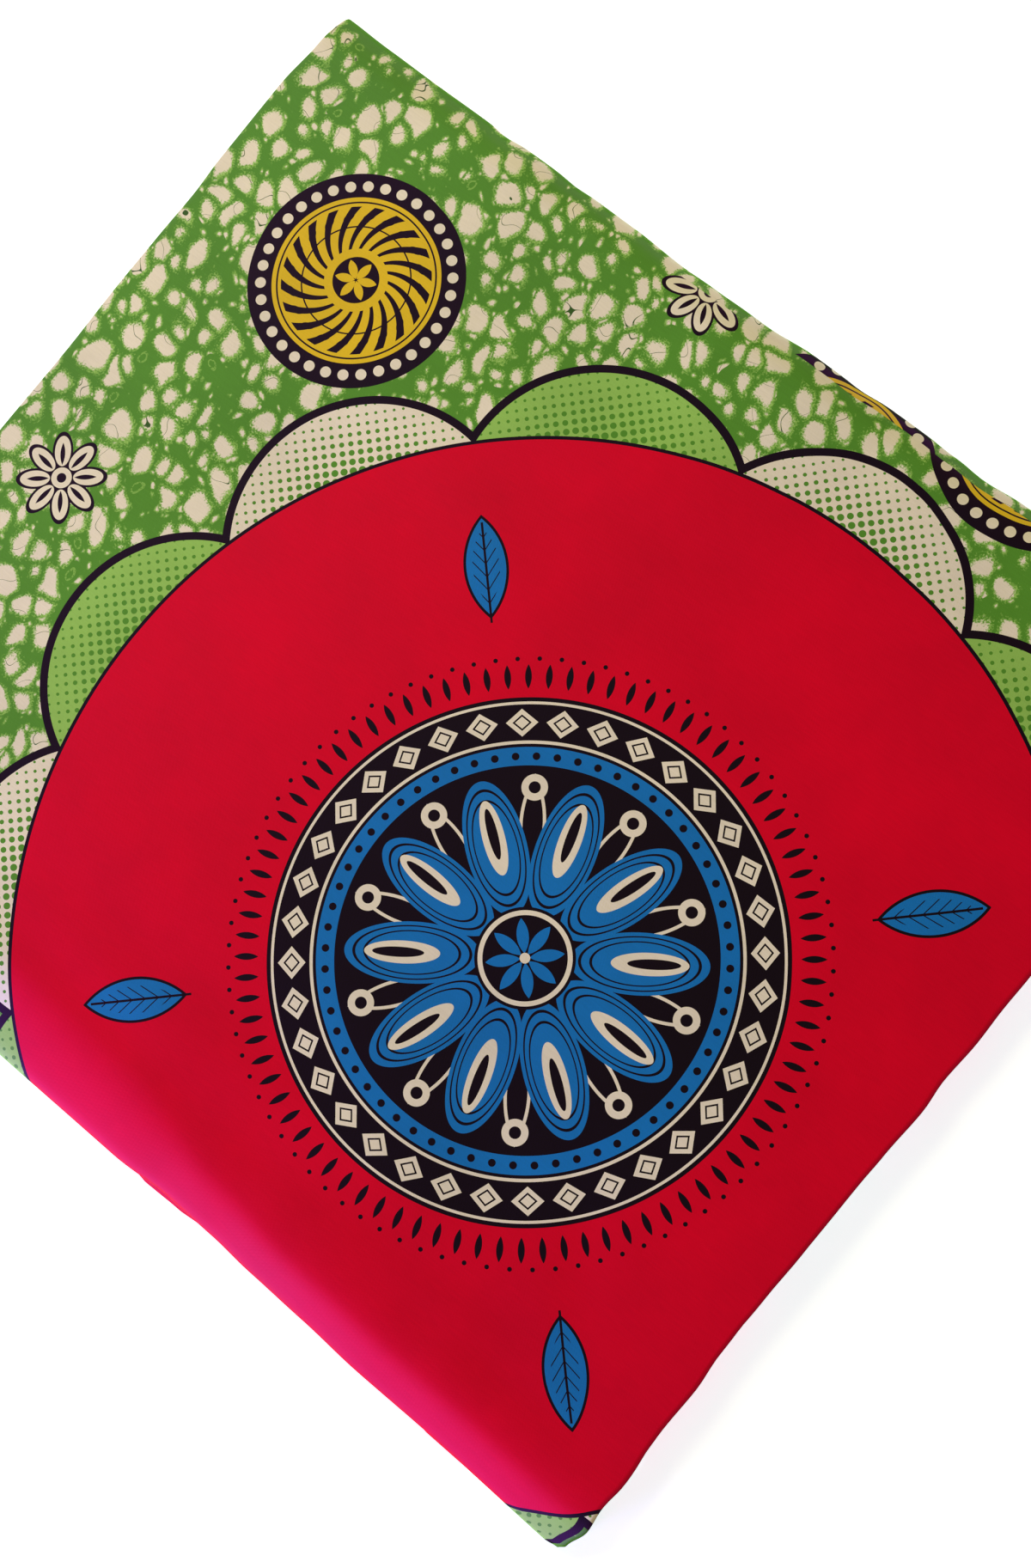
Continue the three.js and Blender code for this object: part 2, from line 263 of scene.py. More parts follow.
def sheet_object(name, rows, first, second, sizes, ends, free_end=False, start=0.0):
    """The doubled cloth swept along rows of the winding, as one thin sheet: in from the
    first selvage, round the centre fold and back to the second. first and second are
    the places across each ply. ends says, from the share of the rows and the place along
    the cloth, how far in the centre fold, the first selvage and, more than it, the second
    lie. Gives the object and the cloth's length."""
    half_w = sizes["half_w"]
    radius = DOUBLED / 2
    bend = np.linspace(0, math.pi, BEND_POINTS + 2)[1:-1]
    # Share of the way from the centre fold to the selvage, the bend's X, and the depth
    share = np.concatenate([first[::-1], np.zeros(len(bend)), second])
    bulge = np.concatenate([0 * first, radius * np.sin(bend), 0 * second])
    depth = np.concatenate([0 * first, radius * (1 - np.cos(bend)), DOUBLED + 0 * second])
    second_ply = np.concatenate([0 * first, 0 * bend, second > 0]).astype(bool)

    grid = np.zeros((len(rows), len(share), 3))
    length, lengths, last = start, [], None
    for r, (leg, t, base) in enumerate(rows):
        if leg == "underside":
            at = (t, base)
        else:
            at = leg_at(leg, np.float64(t), base, sizes)
        if last is not None:
            length -= math.hypot(at[0] - last[0], at[1] - last[1])
        last = at
        lengths.append(length)
        fold_in, selvage_in, second_in = ends(r / (len(rows) - 1), length)
        low = -half_w + fold_in + radius
        high = half_w - selvage_in - np.where(second_ply, SECOND_SELVAGE + second_in, 0.0)
        x = low + (high - low) * share - bulge
        if leg == "underside":
            y, z = t + 0 * x, base + depth
            if free_end:
                front = -sizes["half_d"] + line_at(FREE_END_LINE, x)
                back = rows[-1][1]
                y = front + (back - front) * (t - rows[0][1]) / (back - rows[0][1])
        else:
            y, z = leg_at(leg, t + 0 * x, base + depth, sizes)
        grid[r] = np.stack(settle(x, y, z, sizes, not free_end), 1)
    verts = grid.reshape(-1, 3) * MM
    n = len(share)
    a = (np.arange(len(rows) - 1)[:, None] * n + np.arange(n - 1)[None, :]).ravel()
    faces = np.stack([a, a + 1, a + n + 1, a + n], 1)
    mesh = bpy.data.meshes.new(name)
    mesh.from_pydata(verts.tolist(), [], faces.tolist())
    uv = np.stack([
        np.broadcast_to(-half_w + 2 * half_w * share, grid.shape[:2]).ravel(),
        np.repeat(lengths, n),
    ], 1) * MM
    layer = mesh.uv_layers.new(name="Cloth")
    corners = np.zeros(len(mesh.loops), int)
    mesh.loops.foreach_get("vertex_index", corners)
    layer.uv.foreach_set("vector", uv[corners].astype(np.float32).ravel())
    mesh.polygons.foreach_set("use_smooth", [True] * len(mesh.polygons))
    mesh.update()
    ob = bpy.data.objects.new(name, mesh)
    bpy.context.collection.objects.link(ob)
    solid = ob.modifiers.new("Thickness", "SOLIDIFY")
    solid.thickness = sizes["ply"] * MM
    solid.offset = -1.0
    solid.use_rim = True
    return ob, start - length


# ---------------------------------------------------------------- the print, as nodes
class Value:
    """A number or vector that changes over the cloth, for writing sums with."""

    def __init__(self, sums, socket):
        self.sums, self.socket = sums, socket

    def __add__(self, other):
        return self.sums.math("ADD", self, other)

    def __sub__(self, other):
        return self.sums.math("SUBTRACT", self, other)

    def __mul__(self, other):
        return self.sums.math("MULTIPLY", self, other)

    def __lt__(self, other):
        return self.sums.math("LESS_THAN", self, other)

    def __gt__(self, other):
        return self.sums.math("GREATER_THAN", self, other)

    def __and__(self, other):
        return self.sums.math("MINIMUM", self, other)

    def __or__(self, other):
        return self.sums.math("MAXIMUM", self, other)


class Sums:
    """Writes sums as nodes of one tree."""

    def __init__(self, tree):
        self.tree = tree

    def node(self, kind, **settings):
        made = self.tree.nodes.new(kind)
        for name, value in settings.items():
            setattr(made, name, value)
        return made

    def put(self, socket, value):
        if isinstance(value, Value):
            self.tree.links.new(value.socket, socket)
        else:
            socket.default_value = value

    def outputs_of(self, node, **inputs):
        """Fills a node's inputs and gives its outputs by name."""
        for name, value in inputs.items():
            self.put(node.inputs[name.replace("_", " ")], value)
        return {out.name: Value(self, out) for out in node.outputs}

    def group(self, tree, **inputs):
        return self.outputs_of(self.node("ShaderNodeGroup", node_tree=tree), **inputs)

    def noise(self, **inputs):
        made = self.node("ShaderNodeTexNoise", noise_dimensions="2D")
        return self.outputs_of(made, **inputs)

    def voronoi(self, feature, **inputs):
        made = self.node("ShaderNodeTexVoronoi", voronoi_dimensions="2D", feature=feature)
        return self.outputs_of(made, **inputs)

    def math(self, operation, *values, clamp=False):
        made = self.node("ShaderNodeMath", operation=operation, use_clamp=clamp)
        for socket, value in zip(made.inputs, values):
            self.put(socket, value)
        return Value(self, made.outputs[0])

    def vector(self, operation, *values):
        made = self.node("ShaderNodeVectorMath", operation=operation)
        for socket, value in zip(made.inputs, values):
            self.put(socket, value)
        number = operation in ("DISTANCE", "LENGTH", "DOT_PRODUCT")
        return Value(self, made.outputs["Value" if number else "Vector"])

    def scale(self, vector, by):
        made = self.node("ShaderNodeVectorMath", operation="SCALE")
        self.put(made.inputs[0], vector)
        self.put(made.inputs["Scale"], by)
        return Value(self, made.outputs["Vector"])

    def apart(self, vector):
        made = self.node("ShaderNodeSeparateXYZ")
        self.put(made.inputs[0], vector)
        return [Value(self, made.outputs[i]) for i in range(3)]

    def joined(self, x, y):
        made = self.node("ShaderNodeCombineXYZ")
        self.put(made.inputs["X"], x)
        self.put(made.inputs["Y"], y)
        return Value(self, made.outputs[0])

    def polar(self, x, y):
        """The angle and distance of a place from the middle."""
        return self.math("ARCTAN2", y, x), self.vector("LENGTH", self.joined(x, y))

    def near(self, value, at, within):
        return self.math("COMPARE", value, at, within)

    def ramp(self, value, start, stop):
        """0 before start, 1 beyond stop."""
        by = 1.0 / (stop - start)
        return self.math("MULTIPLY_ADD", value, by, -start * by, clamp=True)

    def from_point(self, place, x, y=0.0):
        """Distance from a point."""
        return self.vector("DISTANCE", place, (x, y, 0.0))

    def spot(self, place, x, radius):
        """1 within a round spot."""
        return self.from_point(place, x) < radius

    def lens(self, place, x, half_length, half_width, less=0.0):
        """1 within a pointed oval that lies along X, drawn in all round by less."""
        side = (half_length**2 + half_width**2) / (2 * half_width)
        return self.from_point(place, x, half_width - side) < side - less

    def oval(self, place, x, half_length, half_width):
        """0 at an oval's middle and 1 at its edge."""
        shrunk = self.vector("MULTIPLY", place, (1 / half_length, 1 / half_width, 0.0))
        return self.from_point(shrunk, x / half_length)

    def mix(self, factor, under, over):
        made = self.node("ShaderNodeMix", data_type="RGBA")
        self.put(made.inputs[0], factor)
        self.put(made.inputs[6], under)
        self.put(made.inputs[7], over)
        return Value(self, made.outputs[2])

    def mix_number(self, factor, under, over):
        made = self.node("ShaderNodeMix", data_type="FLOAT")
        self.put(made.inputs[0], factor)
        self.put(made.inputs[2], under)
        self.put(made.inputs[3], over)
        return Value(self, made.outputs[0])


def new_group(name, inputs, outputs):
    """An empty node group with named sockets: (kind, name, default) rows. Gives the
    tree, its sums, its inputs by name and a function that links an output."""
    tree = bpy.data.node_groups.new(name, "ShaderNodeTree")
    for kind, label, default in inputs:
        made = tree.interface.new_socket(label, in_out="INPUT", socket_type=kind)
        if default is not None:
            made.default_value = default
    for kind, label in outputs:
        tree.interface.new_socket(label, in_out="OUTPUT", socket_type=kind)
    sums = Sums(tree)
    given, out = sums.node("NodeGroupInput"), sums.node("NodeGroupOutput")
    values = {s.name: Value(sums, s) for s in given.outputs if s.name}
    return tree, sums, values, lambda label, value: sums.put(out.inputs[label], value)


FLOAT, VECTOR, COLOUR = "NodeSocketFloat", "NodeSocketVector", "NodeSocketColor"


def repeat_around_group():
    """Shares the round of a roundel into equal sectors. Place is the point within its
    own sector: X runs out along the sector's middle, Y across it. Folded place is the
    same with Y never below 0, for what is alike on both sides of the middle."""
    tree, s, given, give = new_group(
        "Repeat around",
        [(FLOAT, "Angle", 0.0), (FLOAT, "Radius", 1.0), (FLOAT, "Sector", 1.0),
         (FLOAT, "Turn", 0.0)],
        [(VECTOR, "Place"), (VECTOR, "Folded place")],
    )
    half = given["Sector"] * 0.5
    turned = given["Angle"] - given["Turn"]
    angle = s.math("WRAP", turned, half, s.math("MULTIPLY", half, -1.0))
    x = given["Radius"] * s.math("COSINE", angle)
    y = given["Radius"] * s.math("SINE", angle)
    give("Place", s.joined(x, y))
    give("Folded place", s.joined(x, s.math("ABSOLUTE", y)))
    return tree


# The pebbles lie slightly drawn out, this far round from the width of the cloth
PEBBLE_TURN, PEBBLE_STRETCH = math.radians(-62), (1.22, 0.92, 1.0)
PEBBLE_WANDER, WANDER_SCALE = 11.0, 0.05  # how far and how often their rows bend
PEBBLE_SCATTER = 0.84  # 0 lays them in rows
# Its reach as a share of what fits its place: the smallest, and what chance adds to it
PEBBLE_REACH, REACH_CHANCE = 0.58, 0.85
PEBBLE_ROUND = 4.4  # how softly its corners are rounded
RAGGED, RAGGED_SCALE = 2.8, 0.9  # how far and how finely its edge frays
RINGS_SHARE = 0.07  # of the pebbles are left as a faint ring
RING_RADIUS, RING_HALF, RING_FAINT, RING_BROKEN = 2.1, 0.5, 0.6, 0.42
# Small spots in the gaps: how much closer they stand than pebbles, their smallest
# radius (below 0 there is none), what chance adds to it and how far their edge frays
SPOT_CLOSER, SPOT_LEAST, SPOT_CHANCE, SPOT_RAGGED = 2.3, -1.3, 3.4, 1.6
GAP_FROM, GAP_TO = -1.0, -1.8  # how far outside a pebble its gap begins
# The paler rim's width, how much wider it is towards the selvage, how far from its
# pebble's middle that widening is full, and how far it frays
RIM_WIDTH, RIM_LEAN, LEAN_FULL, RIM_RAGGED = 0.9, 0.9, 5.0, 2.8
CRACK_HALF, UNCRACKED_SHARE = 0.004, 0.35
# Where the dye's edges start and stop: a pebble's, a spot's and the spot's rim
PEBBLE_EDGE, SPOT_EDGE, SPOT_RIM_EDGE = (-0.3, 0.7), (0.2, 0.9), (-0.7, 0.4)


def pebble_group():
    """The ground that wax resist leaves: rounded pebbles of bare cloth, with a ragged
    paler rim that is widest towards the selvage, and small spots in the gaps. A few
    pebbles are left as a faint ring, and fine cracks run across some of the others."""
    tree, s, given, give = new_group(
        "Wax pebbles",
        [(VECTOR, "Cloth", None), (FLOAT, "Pebble size", 14.0), (FLOAT, "Gap", 1.5)],
        [(FLOAT, "Bare"), (FLOAT, "Rim"), (FLOAT, "Crack")],
    )
    size = given["Pebble size"]
    wander = s.noise(Vector=given["Cloth"], Scale=WANDER_SCALE, Detail=1.0,
                     Roughness=0.5)["Color"]
    moved = s.vector(
        "MULTIPLY_ADD", wander, (PEBBLE_WANDER, PEBBLE_WANDER, 0.0), given["Cloth"])
    laid = s.outputs_of(s.node("ShaderNodeMapping", vector_type="TEXTURE"), Vector=moved,
                        Rotation=(0.0, 0.0, PEBBLE_TURN), Scale=PEBBLE_STRETCH)["Vector"]
    by = s.math("DIVIDE", 1.0, size)
    cells, walls, fits = (
        s.voronoi(feature, Vector=laid, Scale=by, Randomness=PEBBLE_SCATTER)
        for feature in ("F1", "DISTANCE_TO_EDGE", "N_SPHERE_RADIUS"))
    chance, kind, other = s.apart(cells["Color"])
    wall = walls["Distance"] * size
    out = cells["Distance"] * size
    reach = fits["Radius"] * size * s.math(
        "MULTIPLY_ADD", chance, REACH_CHANCE, PEBBLE_REACH)
    inside = s.math("SMOOTH_MIN", wall - given["Gap"], reach - out, PEBBLE_ROUND)
    speck = s.noise(Vector=given["Cloth"], Scale=RAGGED_SCALE, Detail=1.0,
                    Roughness=0.75)["Fac"]
    rough = s.math("MULTIPLY_ADD", speck, RAGGED, inside) - RAGGED / 2
    whole = kind > RINGS_SHARE
    bare = s.ramp(rough, *PEBBLE_EDGE) & whole

    spots = s.voronoi("F1", Vector=laid, Scale=by * SPOT_CLOSER, Randomness=1.0)
    spot_chance, _, _ = s.apart(spots["Color"])
    spot = s.math("MULTIPLY_ADD", spot_chance, SPOT_CHANCE, SPOT_LEAST)
    spot = spot - spots["Distance"] * size * (1 / SPOT_CLOSER)
    spot = s.math("MULTIPLY_ADD", speck, SPOT_RAGGED, spot) - SPOT_RAGGED / 2
    in_gap = s.ramp(inside, GAP_FROM, GAP_TO)
    bare = bare | (s.ramp(spot, *SPOT_EDGE) & in_gap)
    give("Bare", bare)

    # How far towards the selvage a place lies from its pebble's middle
    lean = s.vector("SUBTRACT", laid, cells["Position"])
    towards = (math.cos(-PEBBLE_TURN) / PEBBLE_STRETCH[0],
               math.sin(-PEBBLE_TURN) / PEBBLE_STRETCH[1], 0.0)
    lean = s.vector("DOT_PRODUCT", lean, towards)
    lean = s.math("DIVIDE", lean, LEAN_FULL, clamp=True)
    rim = (s.math("MULTIPLY_ADD", lean, RIM_LEAN, rough)
           + s.math("MULTIPLY_ADD", speck, RIM_RAGGED, -RIM_WIDTH))
    ring = s.near(out, RING_RADIUS, RING_HALF) & (speck > RING_BROKEN)
    rim = s.mix_number(whole, ring * RING_FAINT, s.ramp(rim, -RIM_WIDTH, RIM_WIDTH))
    give("Rim", rim | (s.ramp(spot, *SPOT_RIM_EDGE) & in_gap))

    _, _, line = s.apart(wander)
    give("Crack", s.near(line, 0.5, CRACK_HALF) & (other > UNCRACKED_SHARE) & bare)
    return tree


def weave_group():
    """Plain cotton weave: a height for its threads and a slightly uneven shade."""
    tree, s, given, give = new_group(
        "Cotton weave",
        [(VECTOR, "Cloth", None), (FLOAT, "Thread", 0.42)],
        [(FLOAT, "Height"), (FLOAT, "Shade")],
    )
    x, y, _ = s.apart(given["Cloth"])
    by = s.math("DIVIDE", math.pi, given["Thread"])
    give("Height", s.math("SINE", x * by) * s.math("SINE", y * by))
    drawn_out = s.vector("MULTIPLY", given["Cloth"], (0.09, 1.0, 1.0))
    give("Shade", s.noise(Vector=drawn_out, Scale=1.1, Detail=1.0)["Fac"])
    return tree


# ---- The print's motifs, in millimetres of cloth
# Where the big roundel's middle lies on the cloth, and after how long it comes again
ROUNDEL_AT = (100.0, -65.0)
REPEAT_LENGTH = 640.0

FIELD_RADIUS, FIELD_OUTLINE, FIELD_INSIDE = 262.0, 0.95, 261.1
LOBES, LOBE_AT, LOBE_RADIUS, LOBE_OUTLINE = 12, 225.0, 75.0, 2.1
DOT_SPACING, DOT_LEAST, DOT_GROWTH = 3.4, 0.24, 0.0155

# Pointed ovals and ovals below are rows of how far out their middle is, half length and
# half width. Round spots are rows of how far out they are and their radius, and rings
# are rows of radius and half the width of the line.
SUNS, SUN_AT, SUN_TURN = 6, 361.0, 143.4  # those that stand round each big roundel
SUN_RADIUS, SUN_FACE, SUN_EYE = 58.0, 45.0, 12.5
SUN_PEARLS, SUN_PEARL = 34, (51.0, 2.9)
SUN_RINGS = ((42.2, 0.45), (29.0, 0.4))
SUN_RAYS, RAYS_FROM, RAYS_TO, RAY_WIDENS, RAY_STARTS = 20, 17.0, 40.0, 0.085, 0.6
SUN_SWIRL = 0.022  # radians that a ray turns for each millimetre outwards
LOOPS_AT, LOOP = 34.5, (2.1, 0.5)
SUN_PETALS, SUN_PETAL = 6, (6.0, 5.4, 2.3)

FLOWER_AT = 350.0
FLOWER_PETALS, FLOWER_PETAL, FLOWER_VEIN = 8, (14.5, 10.5, 5.6), (13.0, 6.0, 1.3)
FLOWER_INSIDE = 0.78  # the share of a petal within its outline
FLOWER_BACK, FLOWER_MIDDLE, FLOWER_EYE = 9.0, 5.6, 2.6

LEAVES, LEAF = 4, (197.0, 27.0, 11.5)
LEAF_OUTLINE, VEINS_INSIDE = 1.4, 4.6
VEIN_SPACING, VEIN_SLANT, VEIN_FIRST, VEIN_HALF = 3.4, 1.3, 1.2, 0.42
MIDRIB, MIDRIB_HALF = (194.0, 26.0), 0.6  # its middle and half length

SEEDS, SEED, OUTER_DOT = 84, (139.5, 6.2, 1.7), (148.5, 1.15)
ROSETTE_RADIUS = 129.0
ROSETTE_RINGS = ((126.2, 0.7), (106.5, 0.8))
LOZENGES, LOZENGES_AT, LOZENGE_HALF = 36, 116.3, 7.0
LOZENGE_WIDER, LOZENGE_LINE = 0.86, (3.6, 0.55)
BEADS, BEAD_RING, BEAD = 60, (99.5, 4.6), (99.5, 1.9)
ROSETTE_PETALS, ROSETTE_PETAL = 10, (56.0, 34.0, 15.2)
PETAL_LINES = ((0.86, 0.022), (0.70, 0.02))  # as shares of the petal
PETAL_HEART, PETAL_SLIT = (61.0, 19.0, 5.6), (63.0, 13.0, 2.5)
DROP, DROP_OUTLINE = (66.0, 25.0, 6.6), 1.6
DROP_HEAD, DROP_HOLE = (84.0, 6.6), (84.0, 3.0)
MIDDLE_RADIUS, MIDDLE_RING, MIDDLE_EYE = 25.0, (22.2, 1.2), 2.6
MIDDLE_PETALS, MIDDLE_PETAL = 8, (11.0, 8.6, 3.0)

# The dyes: the name of each setting and its label in the node group
INKS = {"red": "Red", "green": "Green", "pale": "Pale green", "cream": "Cream",
        "blue": "Blue", "yellow": "Yellow", "black": "Black"}
CRACK_SHADE = 0.4


class WaxPrint:
    """The print as it is laid on, each motif over the last. Its angle and radius are
    taken from the middle of the nearest big roundel."""

    def __init__(self, sums, inks, cloth):
        self.s, self.inks, self.cloth = sums, inks, cloth
        self.around = repeat_around_group()
        self.colour = inks["green"]
        x, y, _ = sums.apart(cloth)
        half = REPEAT_LENGTH / 2
        y = sums.math("WRAP", y - ROUNDEL_AT[1], half, -half)
        self.angle, self.radius = sums.polar(x - ROUNDEL_AT[0], y)

    def lay(self, where, ink):
        self.colour = self.s.mix(where, self.colour, self.inks[ink])

    def sector(self, angle, radius, count, turn=0.0):
        return self.s.group(self.around, Angle=angle, Radius=radius,
                            Sector=2 * math.pi / count, Turn=math.radians(turn))

    def folded(self, angle, radius, count, turn=0.0):
        return self.sector(angle, radius, count, turn)["Folded place"]

    def one_of(self, count, at, turn):
        """Angle and distance from the nearest of some motifs round the big roundel."""
        x, y, _ = self.s.apart(self.sector(self.angle, self.radius, count, turn)["Place"])
        return self.s.polar(x - at, y)

    def rings(self, radius, rows):
        near = [self.s.near(radius, *row) for row in rows]
        return near[0] | near[1]

    def ground(self):
        """Bare pebbles of cloth in green dye."""
        s = self.s
        pebbles = s.group(pebble_group(), Cloth=self.cloth)
        self.lay(pebbles["Rim"], "pale")
        self.lay(pebbles["Bare"], "cream")
        crack = s.scale(self.inks["green"], CRACK_SHADE)
        self.colour = s.mix(pebbles["Crack"], self.colour, crack)

    def sunbursts(self):
        """Black roundels edged with pearls, and in each a yellow sun of swirling rays."""
        s = self.s
        angle, radius = self.one_of(SUNS, SUN_AT, SUN_TURN)
        self.lay(radius < SUN_RADIUS, "black")
        self.lay(s.spot(self.folded(angle, radius, SUN_PEARLS), *SUN_PEARL), "cream")
        self.lay((radius < SUN_FACE) & (radius > SUN_EYE), "yellow")
        swirl = s.math("MULTIPLY_ADD", radius, SUN_SWIRL, angle)
        rays = self.folded(swirl, radius, SUN_RAYS)
        along, across, _ = s.apart(rays)
        wedge = across < (along * RAY_WIDENS - RAY_STARTS)
        self.lay(wedge & (radius > RAYS_FROM) & (radius < RAYS_TO), "black")
        self.lay(self.rings(radius, SUN_RINGS), "black")
        self.lay(s.near(s.from_point(rays, LOOPS_AT), *LOOP), "black")
        self.lay(s.lens(self.folded(angle, radius, SUN_PETALS), *SUN_PETAL), "yellow")

    def small_flowers(self):
        """Cream flowers midway between the sunbursts."""
        s = self.s
        angle, radius = self.one_of(SUNS, FLOWER_AT, SUN_TURN + 180.0 / SUNS)
        petals = self.folded(angle, radius, FLOWER_PETALS)
        petal = s.oval(petals, *FLOWER_PETAL)
        self.lay((petal < 1.0) | (radius < FLOWER_BACK), "black")
        self.lay(petal < FLOWER_INSIDE, "cream")
        self.lay(s.lens(petals, *FLOWER_VEIN), "black")
        self.lay(radius < FLOWER_MIDDLE, "cream")
        self.lay(radius < FLOWER_EYE, "black")

    def field(self):
        """The red field with its scalloped edge, whose crescents are pale green and
        cream by turns and hold dots that grow towards the red."""
        s, inks = self.s, self.inks
        lobe = s.from_point(self.folded(self.angle, self.radius, LOBES), LOBE_AT)
        lobe = lobe - LOBE_RADIUS
        by_turns = s.math("PINGPONG", self.angle * (LOBES / (2 * math.pi)), 1.0)
        crescent = s.mix(by_turns > 0.5, inks["pale"], inks["cream"])
        closer = (1 / DOT_SPACING, 1 / DOT_SPACING, 0.0)
        x, y, _ = s.apart(s.vector("MULTIPLY", self.cloth, closer))
        _, dot = s.polar(s.math("WRAP", x + y, 1.0, -1.0), s.math("WRAP", x - y, 1.0, -1.0))
        dot_radius = s.math("MULTIPLY_ADD", lobe, -DOT_GROWTH, DOT_LEAST)
        crescent = s.mix(dot < dot_radius, crescent, inks["green"])
        edge = s.near(self.radius, FIELD_RADIUS, FIELD_OUTLINE)
        crescent = s.mix(edge, crescent, inks["black"])
        self.colour = s.mix(lobe < 0.0, self.colour, crescent)
        self.lay(s.near(lobe, 0.0, LOBE_OUTLINE), "black")
        self.lay(self.radius < FIELD_INSIDE, "red")

    def leaves(self):
        """Blue leaves in the red, each with a midrib and slanting veins."""
        s = self.s
        leaf = self.folded(self.angle, self.radius, LEAVES, 180.0 / LEAVES)
        self.lay(s.lens(leaf, *LEAF), "black")
        self.lay(s.lens(leaf, *LEAF, less=LEAF_OUTLINE), "blue")
        along, across, _ = s.apart(leaf)
        slant = along - s.math("MULTIPLY_ADD", across, VEIN_SLANT, VEIN_FIRST)
        veins = s.math("PINGPONG", slant, VEIN_SPACING) < VEIN_HALF
        veins = veins & s.lens(leaf, *LEAF, less=VEINS_INSIDE)
        midrib = (across < MIDRIB_HALF) & s.near(along, *MIDRIB)
        self.lay(veins | midrib, "black")

    def rosette_edge(self):
        """From outside in: dots, seeds, a band of lozenges and a blue ring of beads."""
        s, angle, radius = self.s, self.angle, self.radius
        self.lay(s.lens(self.folded(angle, radius, SEEDS), *SEED), "black")
        dots = self.folded(angle, radius, SEEDS, 180 / SEEDS)
        self.lay(s.spot(dots, *OUTER_DOT), "black")
        self.lay(radius < ROSETTE_RADIUS, "black")
        self.lay(self.rings(radius, ROSETTE_RINGS), "cream")
        lozenges = self.folded(angle, radius, LOZENGES)
        along, across, _ = s.apart(lozenges)
        along = s.math("ABSOLUTE", along - LOZENGES_AT)
        lozenge = s.math("MULTIPLY_ADD", across, LOZENGE_WIDER, along)
        self.lay(lozenge < LOZENGE_HALF, "cream")
        self.lay(s.near(lozenge, *LOZENGE_LINE), "black")
        self.lay(s.near(radius, *BEAD_RING), "blue")
        self.lay(s.spot(self.folded(angle, radius, BEADS), *BEAD), "black")

    def rosette(self):
        """Blue petals with drops between them, round a small flower in a ring."""
        s, angle, radius = self.s, self.angle, self.radius
        drops = self.folded(angle, radius, ROSETTE_PETALS, 180.0 / ROSETTE_PETALS)
        self.lay(s.lens(drops, *DROP), "cream")
        self.lay(s.lens(drops, *DROP, less=DROP_OUTLINE), "black")
        self.lay(s.spot(drops, *DROP_HEAD), "cream")
        self.lay(s.spot(drops, *DROP_HOLE), "black")
        petals = self.folded(angle, radius, ROSETTE_PETALS)
        petal = s.oval(petals, *ROSETTE_PETAL)
        self.lay(petal < 1.0, "blue")
        self.lay(self.rings(petal, PETAL_LINES), "black")
        self.lay(s.oval(petals, *PETAL_HEART) < 1.0, "cream")
        self.lay(s.oval(petals, *PETAL_SLIT) < 1.0, "black")
        self.lay(radius < MIDDLE_RADIUS, "black")
        self.lay(s.near(radius, *MIDDLE_RING), "cream")
        middle = self.folded(angle, radius, MIDDLE_PETALS)
        self.lay(s.lens(middle, *MIDDLE_PETAL), "blue")
        self.lay(radius < MIDDLE_EYE, "cream")


def print_group(colours):
    """The whole print, on the cloth's own coordinates in metres: a red field with a
    scalloped edge and a rosette at its middle, on a ground of wax pebbles that is strewn
    with sunbursts and small flowers."""
    tree, s, given, give = new_group(
        "Wax print",
        [(VECTOR, "Cloth", None)] + [(COLOUR, INKS[ink], colours[ink]) for ink in INKS],
        [(COLOUR, "Color"), (VECTOR, "Cloth mm")],
    )
    cloth = s.scale(given["Cloth"], 1 / MM)
    give("Cloth mm", cloth)
    wax = WaxPrint(s, {ink: given[label] for ink, label in INKS.items()}, cloth)
    wax.ground()
    wax.sunbursts()
    wax.small_flowers()
    wax.field()
    wax.leaves()
    wax.rosette_edge()
    wax.rosette()
    give("Color", wax.colour)
    return tree


PATCHES_SCALE, PATCHES_SHADE, PATCHES_ROUGH = 0.013, 0.30, 0.16
THREAD_SHADE, DARKEST_SHADE = 0.10, 0.80
WEAVE_DEPTH, WEAVE_STRENGTH = 0.00005, 0.35
COTTON_SHINE, BLOOM_ROUGHNESS = 0.06, 0.55
BLOOM_TINT = (0.55, 0.10, 1.0, 1.0)
BLOOM_GROWTH, BLOOM_LEAST = 2.6, 0.20
FADING_GROWTH, FADING_FROM = -3.5, 1.62


